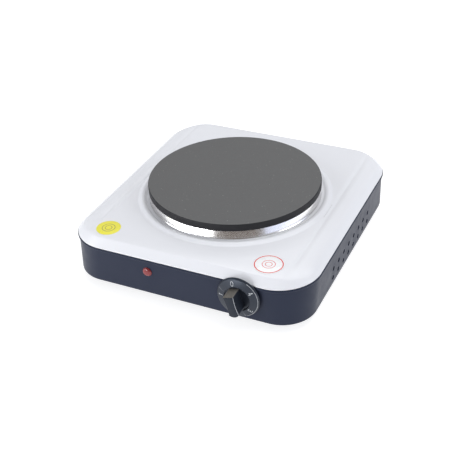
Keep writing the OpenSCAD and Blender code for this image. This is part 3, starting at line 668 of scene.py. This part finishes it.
def shell_holes():
    """Closed plugs in the places of the vents and of every other hole in the body."""
    plugs = []
    for drop in VENT_DROPS:
        wall = HALF_W - wall_at(SEAM_Z - drop)
        v, f = lathe(plug(VENT_R, wall - REACH, wall + REACH, 0.35, wall + 0.05), 28)
        for k in range(VENTS):
            y = MID_Y + (k - (VENTS - 1) / 2) * VENT_PITCH
            for s in (-1, 1):
                plugs.append((np.stack([s * v[:, 2], y + v[:, 1], SEAM_Z - drop + v[:, 0]], axis=1), f))
    front = -HALF_D + wall_at(AXIS_Z) + MID_Y
    for x, r in FRONT_HOLES:
        v, f = lathe(plug(r, -REACH, REACH, 0.25, 0.05), 40)
        plugs.append((on_front(v, x, AXIS_Z, front), f))
    v, f = lathe(plug(GLAND_HOLE_R, -REACH, REACH), 48)
    plugs.append((np.stack([GLAND_X + v[:, 0], MID_Y + HALF_D - 2 + v[:, 2], GLAND_Z + v[:, 1]], axis=1), f))
    for sx in (-1, 1):
        for sy in (-1, 1):
            at = (sx * (HALF_W - BASE_SCREW_IN), MID_Y + sy * (HALF_D - BASE_SCREW_IN), FLOOR_Z)
            plugs.append(lathe(plug(BASE_SCREW_R, -3, 3), 24, at))
    return solid_mesh("shell_holes", *joined(plugs))


def make_shell():
    obj = bpy.data.objects.new("body_painted", shell_skin())
    tool = bpy.data.objects.new("shell_holes", shell_holes())
    for each in (obj, tool):
        bpy.context.scene.collection.objects.link(each)
    cut = obj.modifiers.new("holes", "BOOLEAN")
    cut.object = tool
    cut.operation = "DIFFERENCE"
    cut.solver = "EXACT"
    bpy.context.view_layer.update()
    depsgraph = bpy.context.evaluated_depsgraph_get()
    done = bpy.data.meshes.new_from_object(obj.evaluated_get(depsgraph))
    obj.modifiers.clear()
    obj.data = done
    done.name = "body_painted"
    bpy.data.objects.remove(tool)
    bpy.context.scene.collection.objects.unlink(obj)
    finish_mesh(done, 40)
    return place(obj, body_paint, "housing", ["body_shell"])


# ------------------------------------------------------------------ burner

PLATE_RIM = 7.0  # height of the plate's rim
PLATE_THICK = 5.4  # above its recess
DISH_R, DISH_OUT, DISH = 14.0, 20.0, 0.40  # the shallow dish in the middle: flat to 14, level at 20


def make_plate():
    """The plate in one profile: face with its dish, rim, outer wall, and the recess below."""
    wall_out, wall_in = PLATE_R - 6.7, PLATE_R - 12.0
    foot = PLATE_LOW[2] - PLATE_Z
    profile = [(0, -0.42), (8, -0.42), (DISH_R, -DISH)]
    for k in range(1, 9):
        t = k / 8
        profile.append((DISH_R + (DISH_OUT - DISH_R) * t, -DISH + DISH * float(smoothstep(t))))
    profile += [(r, 0) for r in (30, 45, 60, 72)]
    edge = [
        (72, 0), (PLATE_R, 0, 1.1), (PLATE_R, -PLATE_RIM, 0.9),
        (wall_out, -PLATE_RIM, 0.5), (wall_out, -PLATE_RIM - 5.5),
    ]
    profile += [tuple(p) for p in rounded(edge, 0.5, 6)[1:]]
    profile += [(wall_out, foot), (wall_in, foot), (wall_in, -PLATE_THICK), (0, -PLATE_THICK)]
    v, f = lathe(profile, 256, (BURNER[0], BURNER[1], PLATE_Z))
    obj = piece("plate_cast_iron", v, f, cast_iron, slot="plate_iron", stands_for=["hot_plate"], sharp=40)
    obj.data.materials.append(rim_iron)
    # everything below the face and outside the dish is bare iron
    for poly in obj.data.polygons:
        x, y, z = poly.center / MM
        if z < PLATE_Z - 0.22 and math.hypot(x, y - BURNER[1]) > DISH_OUT:
            poly.material_index = 1
    return obj


def make_ring():
    """The bright cone between the plate's rim and the cover; its foot stands just over the cover."""
    top = SEAM_Z + COVER_RISE
    rim_z = PLATE_Z - PLATE_RIM
    foot = PLATE_R
    ring_top = PLATE_R - 2.7
    profile = rounded(
        [
            (PLATE_R - 6.5, top + 2.0),
            (PLATE_R - 6.5, rim_z - 0.05, 0.8),
            (ring_top, rim_z - 0.05, 0.5),
            (foot - 0.5, top + 0.9, 0.3),
            (foot, top + 0.05, 0.3),
        ],
        0.6,
        6,
    )
    v, f = lathe([tuple(p) for p in profile], 256, (BURNER[0], BURNER[1], 0))
    return piece("ring_polished", v, f, chrome, slot="ring_steel", stands_for=["trim_ring"], sharp=60)


# ------------------------------------------------------------------ knob

KNOB_ZERO = math.radians(16.5)  # the knob stands turned by this at rest
BORE_R = 3.05
CONE_R, CONE_Z = KNOB_R - 1.0, 2.2  # outer end of the dial's cone
WELL_R, WELL_Z, WELL_FLOOR = 11.3, 4.3, 2.4  # the round well in the dial, its lip and its floor
BAR_HALF, BAR_WAIST = 4.75, 0.8  # half the grip bar's width, and how much it is waisted
BAR_UP, BAR_DOWN = 9.3, 10.2  # reach of the bar above and below the axis
BAR_END_R, BAR_END = 6.4, -7.2  # radius of its lower end, and where that end begins
BEVEL = 0.55
DIGIT_H, DIGIT_W, PEN_W = 4.0, 0.66, 0.38  # the width is a share of the height
DIGIT_R = 14.4
DIGIT_STEP = 72  # degrees from digit to digit
# each digit's pen strokes in a box of one by one
STROKES = {
    0: [[(0.5 + 0.42 * math.cos(a), 0.5 + 0.48 * math.sin(a)) for a in np.linspace(0, 2 * math.pi, 25)]],
    1: [[(0.28, 0.78), (0.55, 1.0), (0.55, 0.0)]],
    2: [[(0.14, 0.72), (0.20, 0.88), (0.38, 1.0), (0.62, 1.0), (0.82, 0.88),
         (0.86, 0.70), (0.76, 0.50), (0.14, 0.0), (0.88, 0.0)]],
    3: [[(0.16, 0.86), (0.34, 1.0), (0.64, 1.0), (0.82, 0.86), (0.82, 0.68), (0.64, 0.54), (0.42, 0.54)],
        [(0.64, 0.54), (0.86, 0.40), (0.88, 0.20), (0.70, 0.02), (0.34, 0.0), (0.12, 0.16)]],
    4: [[(0.66, 0.0), (0.66, 1.0), (0.10, 0.30), (0.90, 0.30)]],
}


def dial_height(r):
    """Height of the dial's cone above the knob's rear face at radius r."""
    return CONE_Z + (CONE_R - r) * (WELL_Z - CONE_Z) / (CONE_R - WELL_R)


def turned(v, angle):
    """Points turned about Z."""
    c, s = math.cos(angle), math.sin(angle)
    out = np.array(v, float)
    out[:, 0], out[:, 1] = c * v[:, 0] - s * v[:, 1], s * v[:, 0] + c * v[:, 1]
    return out


def make_dial():
    profile = rounded(
        [
            (BORE_R, 0.6, 0), (BORE_R, 0.0, 0), (KNOB_R - 0.5, 0.0, 0.2),
            (KNOB_R, 0.35, 0.2), (KNOB_R, 0.85, 0.3), (CONE_R, CONE_Z, 0.6),
            (WELL_R, WELL_Z, 0.45), (WELL_R - 0.2, WELL_FLOOR, 0.4), (0, WELL_FLOOR, 0),
        ],
        0.3,
    )
    v, f = lathe([tuple(p) for p in profile], 160)
    points = on_front(v, AXIS_X, AXIS_Z, KNOB_BACK)
    dial = piece("knob_dial", points, f, dial_plastic, "knob", "knob_plastic", ["knob"], 32)
    dial.data.materials.append(painted_edge_highlight)
    # painted highlight: a thin light line on the rim's right side, where light catches the rounded edge
    for poly in dial.data.polygons:
        x, y, z = poly.center / MM
        r = math.hypot(x - AXIS_X, z - AXIS_Z)
        if KNOB_R - 1.2 < r < KNOB_R - 0.85 and x - AXIS_X > 0.45 * r and y < KNOB_BACK - 1.0:
            poly.material_index = 1


def bar_outline(grow):
    """The grip bar's outline, flat above, round below and waisted, grown by `grow`."""
    reach = (BAR_UP + BAR_DOWN) / 2
    side_r = (reach**2 + BAR_WAIST**2) / (2 * BAR_WAIST)

    def side(v):
        return BAR_HALF - BAR_WAIST + side_r - math.sqrt(side_r**2 - (v - (BAR_UP - reach)) ** 2)

    edge = [(side(v), v) for v in np.linspace(BAR_END, BAR_UP - 0.001, 30)]
    low = math.atan2(BAR_END - (BAR_END_R - BAR_DOWN), side(BAR_END))
    arc = []
    for a in np.linspace(-math.pi / 2, low, 14):
        arc.append((BAR_END_R * math.cos(a), BAR_END_R - BAR_DOWN + BAR_END_R * math.sin(a)))
    corners = [arc[0]] + [(*q, 0) for q in arc[1:-1]] + [(*edge[0], 0.9)]
    corners += [(*q, 0) for q in edge[1:-1]] + [(*edge[-1], 0.7), (0, BAR_UP)]
    half_line = rounded(corners, 0.5)
    pts = np.array([tuple(q) for q in half_line] + [(-q[0], q[1]) for q in half_line[-2:0:-1]])
    ahead = np.roll(pts, -1, axis=0) - np.roll(pts, 1, axis=0)
    out = np.stack([ahead[:, 1], -ahead[:, 0]], axis=1)
    return pts + out / np.linalg.norm(out, axis=1)[:, None] * grow


def make_grip():
    levels = [(1.0, 0.0), (2.35, 0.0), (KNOB_H - BEVEL, 0.0)]
    for k in range(1, 6):
        a = math.radians(18 * k)
        levels.append((KNOB_H - BEVEL + BEVEL * math.sin(a), -0.5 * (1 - math.cos(a))))
    rows = []
    for z, grow in levels:
        line = bar_outline(grow)
        rows.append(np.column_stack([line, np.full(len(line), z)]))
    count = len(rows[0])
    verts = np.vstack(rows)
    faces = grid_faces(len(rows), count)
    faces.append(tuple(range(len(verts) - count, len(verts))))
    faces.append(tuple(range(count - 1, -1, -1)))
    points = on_front(turned(verts, KNOB_ZERO), AXIS_X, AXIS_Z, KNOB_BACK)
    grip = piece("knob_grip", points, faces, knob_plastic, "knob", "knob_plastic", sharp=32)
    grip.data.materials.append(painted_end_light)
    grip.data.materials.append(painted_edge_highlight)
    # painted light: the bar's upper end given a lighter colour, as lit from above, and a painted highlight
    # line down its right edge
    c, s = math.cos(KNOB_ZERO), math.sin(KNOB_ZERO)
    for poly in grip.data.polygons:
        x, y, z = poly.center / MM
        along = (z - AXIS_Z) * c - (x - AXIS_X) * s
        across = (x - AXIS_X) * c + (z - AXIS_Z) * s
        if along > BAR_UP - 0.2:
            poly.material_index = 1
        elif KNOB_H - 0.5 < KNOB_BACK - y < KNOB_H - 0.12 and across > 2.5:
            poly.material_index = 2


def pen_stroke(line):
    """Close points along one stroke of a digit, and the way across it, half the pen's width long."""
    pts = np.array([((x - 0.5) * DIGIT_H * DIGIT_W, (y - 0.5) * DIGIT_H) for x, y in line])
    fine = [pts[0]]
    for a, b in zip(pts, pts[1:]):
        steps = max(1, int(np.linalg.norm(b - a) / 0.5))
        fine += [a + (b - a) * k / steps for k in range(1, steps + 1)]
    fine = np.array(fine)
    ahead = np.gradient(fine, axis=0)
    ahead /= np.linalg.norm(ahead, axis=1)[:, None]
    return fine, np.stack([-ahead[:, 1], ahead[:, 0]], axis=1) * PEN_W / 2


def make_numerals():
    """Printed numerals, laid on the cone as thin raised strokes; a digit's own up points out."""
    verts, faces = [], []
    for digit, lines in STROKES.items():
        at = math.radians(90 + DIGIT_STEP * digit) + KNOB_ZERO
        for fine, across in map(pen_stroke, lines):
            base = len(verts)
            for p, w in zip(fine, across):
                for q, lift in ((p - w, -0.05), (p - w * 0.8, 0.07), (p + w * 0.8, 0.07), (p + w, -0.05)):
                    x, y = -q[0], DIGIT_R + q[1]
                    px = math.cos(at) * y - math.sin(at) * x
                    py = math.sin(at) * y + math.cos(at) * x
                    verts.append((px, py, dial_height(math.hypot(px, py)) + lift))
            for k in range(len(fine) - 1):
                for c in range(3):
                    a = base + 4 * k + c
                    faces.append((a, a + 1, a + 5, a + 4))
            last = base + 4 * (len(fine) - 1)
            faces += [(base, base + 1, base + 2, base + 3), (last, last + 1, last + 2, last + 3)]
    points = on_front(np.array(verts), AXIS_X, AXIS_Z, KNOB_BACK)
    piece("knob_numerals", points, faces, dial_paint, "knob", "knob_plastic", sharp=40)


# ------------------------------------------------------------------ small pieces


def make_lens():
    r = (LENS_HIGH[0] - LENS_LOW[0]) / 2
    wall = -HALF_D + wall_at(AXIS_Z) + MID_Y
    reach = wall - LENS_LOW[1]
    profile = [(r - 1.25, -11.5), (r - 0.5, -11.5), (r - 0.5, 0.05), (r, 0.08), (r, 0.7), (r - 0.25, 0.95)]
    for k in range(1, 11):
        a = math.radians(90 * k / 10)
        profile.append(((r - 0.35) * math.cos(a), 0.95 + (reach - 0.95) * math.sin(a)))
    profile[-1] = (0, reach)
    v, f = lathe(profile, 56)
    points = on_front(v, LENS_X, AXIS_Z, wall)
    return piece("pilot_lens_red", points, f, lens_red, slot="lens_red", stands_for=["pilot_lens"])


def disc(name, node, material, slot_name, art):
    """A round film in the place of a CAD label, with its printed rings."""
    low, high = box_mm(node)
    centre = (low + high) / 2
    r = (high[0] - low[0]) / 2
    t = high[2] - low[2]
    profile = [(0, t), (r * 0.5, t), (r - 0.25, t), (r - 0.06, t - 0.06), (r, t - 0.14), (r, -0.05)]
    at = (centre[0], centre[1], low[2])
    v, f = lathe(profile, 96, at)
    piece(name, v, f, material, slot=slot_name, stands_for=[node], sharp=40)
    for k, (ink, band) in enumerate(art):
        v, f = lathe([(a * r, t + b) for a, b in band], 96, at)
        piece(f"{name}_print_{k}", v, f, ink, slot=slot_name)


def ring_print(low, high):
    """A thin raised ring between two shares of the film's radius."""
    return [(low, -0.02), (low, 0.02), (high, 0.02), (high, -0.02)]


def make_labels():
    disc("label_left", "heat_label", label_yellow, "label_yellow", [
        (label_grey, ring_print(0.50, 0.545)),
        (label_grey, ring_print(0.26, 0.305)),
    ])
    disc("label_right", "care_label", label_white, "label_white", [
        (label_red, ring_print(0.88, 0.95)),
        (label_red, ring_print(0.40, 0.44)),
        (label_red, ring_print(0.20, 0.24)),
    ])


FOOT_R = 9.0
STANDOFF_FLATS = 7.5
STANDOFF_SHORT = 2.3


def make_feet():
    inside = FLOOR_Z + 0.8
    profile = rounded(
        [
            (5.0, 3.2, 0), (5.0, 0.0, 0.5), (8.0, 0.0, 0.8), (FOOT_R, 1.1, 0.6), (8.6, 4.6, 0.8),
            (8.1, 5.2, 0.4), (8.1, inside, 0), (2.1, inside, 0), (2.1, 3.2, 0), (5.0, 3.2, 0),
        ],
        0.4,
    )
    low, high = box_mm("rubber_feet")
    feet = []
    for x in (low[0] + FOOT_R, high[0] - FOOT_R):
        for y in (low[1] + FOOT_R, high[1] - FOOT_R):
            feet.append(lathe([tuple(p) for p in profile], 56, (x, y, 0)))
    return piece("feet_rubber", *joined(feet), rubber, slot="foot_rubber", stands_for=["rubber_feet"])


def make_standoffs():
    """Hexagonal posts between base plate and cover, a little short of the pressed creases above them."""
    low, high = box_mm("cover_standoffs")
    r = STANDOFF_FLATS / 2 / math.cos(math.radians(30))
    top = high[2] - STANDOFF_SHORT
    profile = [(0, low[2]), (r - 0.3, low[2]), (r, low[2] + 0.3), (r, top - 0.6), (r - 0.6, top), (0, top)]
    posts = []
    for sx in (-1, 1):
        for sy in (-1, 1):
            at = (sx * (high[0] - r), MID_Y + sy * ((high[1] - low[1]) / 2 - STANDOFF_FLATS / 2), 0)
            posts.append(lathe(profile, 6, at))
    return piece(
        "standoffs_hexagonal", *joined(posts), galvanised,
        slot="base_zinc", stands_for=["cover_standoffs"], sharp=20,
    )


def make_gland():
    wall = MID_Y + HALF_D - wall_at(GLAND_Z)
    out = GLAND_HIGH[1] - wall
    inner = GLAND_LOW[1] - wall
    profile = rounded(
        [
            (3.5, inner, 0), (5.5, inner, 0.4), (5.5, -4.0, 0.3), (7.5, -4.0, 0.4), (7.5, -1.5, 0.3),
            (5.5, -1.5, 0.2), (5.5, 0.6, 0), (7.5, 0.6, 0.2), (7.2, out - 0.4, 0.5), (6.0, out, 0.4),
            (4.7, out, 0.4), (3.5, -2.0, 0.5), (3.5, inner, 0),
        ],
        0.3,
    )
    v, f = lathe([tuple(p) for p in profile], 64)
    pts = np.stack([GLAND_X + v[:, 0], wall + v[:, 2], GLAND_Z + v[:, 1]], axis=1)
    return piece("gland_rubber", pts, f, gland_rubber, slot="gland_rubber", stands_for=["cord_gland"])


def finish_cad_nodes():
    """Every CAD node that still shows takes its slot's finish."""
    slots = {s["node"]: s["material_slot"] for s in frame["record"]["subparts"]}
    for name, obj in frame["nodes"].items():
        if obj.hide_render:
            continue
        obj.data.materials.clear()
        obj.data.materials.append(FINISHES[slots[name]])


make_cover()
make_shell()
make_plate()
make_ring()
make_dial()
make_grip()
make_numerals()
make_lens()
make_labels()
make_feet()
make_gland()
make_standoffs()
finish_cad_nodes()

# ------------------------------------------------------------------ camera, floor and light

AZIMUTH, ELEVATION, ROLL = math.radians(26.35), math.radians(33.276), math.radians(-2.67)
DISTANCE = 796.65
TARGET = Vector((9.74, -46.10 + MID_Y, SEAM_Z)) * MM
LENS_MM = 72.5696

back = Vector((
    math.sin(AZIMUTH) * math.cos(ELEVATION),
    -math.cos(AZIMUTH) * math.cos(ELEVATION),
    math.sin(ELEVATION),
))
right = Vector((math.cos(AZIMUTH), math.sin(AZIMUTH), 0))
up = back.cross(right)
level_right = right * math.cos(ROLL) + up * math.sin(ROLL)
level_up = up * math.cos(ROLL) - right * math.sin(ROLL)
camera = bpy.data.objects.new("camera", bpy.data.cameras.new("camera"))
camera.data.lens = LENS_MM
camera.data.sensor_width = 36
camera.data.clip_start = 0.05
camera.data.clip_end = 20
turn = Matrix((level_right, level_up, back)).transposed()
camera.matrix_world = Matrix.Translation(TARGET + back * DISTANCE * MM) @ turn.to_4x4()
bpy.context.scene.collection.objects.link(camera)
bpy.context.scene.camera = camera


def make_floor():
    size = 6.0
    mesh = bpy.data.meshes.new("floor")
    corners = [(-size, -size, 0), (size, -size, 0), (size, size, 0), (-size, size, 0)]
    mesh.from_pydata(corners, [], [(0, 1, 2, 3)])
    n = Nodes("floor_white")
    n.put("Base Color", n.mix(n.noise(2, 2, 0.5), (0.50, 0.50, 0.50), (0.52, 0.52, 0.52)))
    n.put("Roughness", 0.9)
    n.put("Specular IOR Level", 0.2)
    n.put("Emission Color", (1, 1, 1))
    n.put("Emission Strength", 0.76)
    mesh.materials.append(n.mat)
    floor = bpy.data.objects.new("floor", mesh)
    bpy.context.scene.collection.objects.link(floor)


def area_light(name, at, towards, size, power, colour=(1, 1, 1)):
    """A rectangular lamp; places and sizes are in metres."""
    light = bpy.data.lights.new(name, "AREA")
    light.shape = "RECTANGLE"
    light.size, light.size_y = size
    light.energy = power
    light.color = colour
    obj = bpy.data.objects.new(name, light)
    obj.location = at
    obj.rotation_mode = "QUATERNION"
    obj.rotation_quaternion = (Vector(towards) - Vector(at)).to_track_quat("-Z", "Y")
    bpy.context.scene.collection.objects.link(obj)


make_floor()
area_light("softbox_top", (0.1, 0.4, 1.2), (0, 0, 0.05), (1.5, 1.2), 12.0)
area_light("softbox_left", (-1.0, -0.75, 0.7), (-0.02, -0.02, 0.04), (0.6, 0.6), 2.9, (0.96, 0.98, 1.0))
area_light("strip_left", (-0.66, -0.93, 0.21), (0, -0.05, 0.04), (1.4, 0.34), 5.0, (0.94, 0.96, 1.0))
area_light("card_front", (-0.38, -1.14, 0.09), (0.056, -0.13, 0.045), (0.28, 0.18), 1.7, (0.97, 0.98, 1.0))
area_light("strip_right", (1.12, 0.0, 0.165), (0, 0, 0.04), (1.35, 0.34), 1.0, (0.60, 0.68, 1.0))
area_light("softbox_right", (1.1, 0.1, 0.55), (0, 0, 0.04), (0.6, 0.6), 3.0, (0.94, 0.97, 1.0))


def make_world():
    """A pale studio with a dim band towards the back and a dark patch at the front, by the camera."""
    world = bpy.data.worlds.new("studio")
    world.use_nodes = True
    tree = world.node_tree
    shade_node = tree.nodes["Background"]
    direction = tree.nodes.new("ShaderNodeTexCoord").outputs["Generated"]
    facing = tree.nodes.new("ShaderNodeVectorMath")
    facing.operation = "DOT_PRODUCT"
    facing.inputs[1].default_value = (0.44, -0.90, 0.0)
    tree.links.new(direction, facing.inputs[0])
    reach = tree.nodes.new("ShaderNodeMapRange")
    reach.inputs["From Min"].default_value = -1.0
    tree.links.new(facing.outputs["Value"], reach.inputs["Value"])
    ramp = tree.nodes.new("ShaderNodeValToRGB")
    pale, dim, dark = (0.93, 0.95, 1.0, 1), (0.30, 0.31, 0.36, 1), (0.36, 0.31, 0.28, 1)
    stops = [(-0.75, pale), (-0.60, dim), (-0.28, dim), (-0.12, pale), (0.78, pale), (0.89, dark)]
    while len(ramp.color_ramp.elements) < len(stops):
        ramp.color_ramp.elements.new(0.5)
    for element, (position, colour) in zip(ramp.color_ramp.elements, stops):
        element.position = (position + 1) / 2
        element.color = colour
    tree.links.new(reach.outputs["Result"], ramp.inputs["Fac"])
    tree.links.new(ramp.outputs["Color"], shade_node.inputs["Color"])
    shade_node.inputs["Strength"].default_value = 0.5
    return world


world = make_world()
bpy.context.scene.world = world
bpy.context.scene.view_settings.view_transform = "Standard"

bpy.context.view_layer.update()
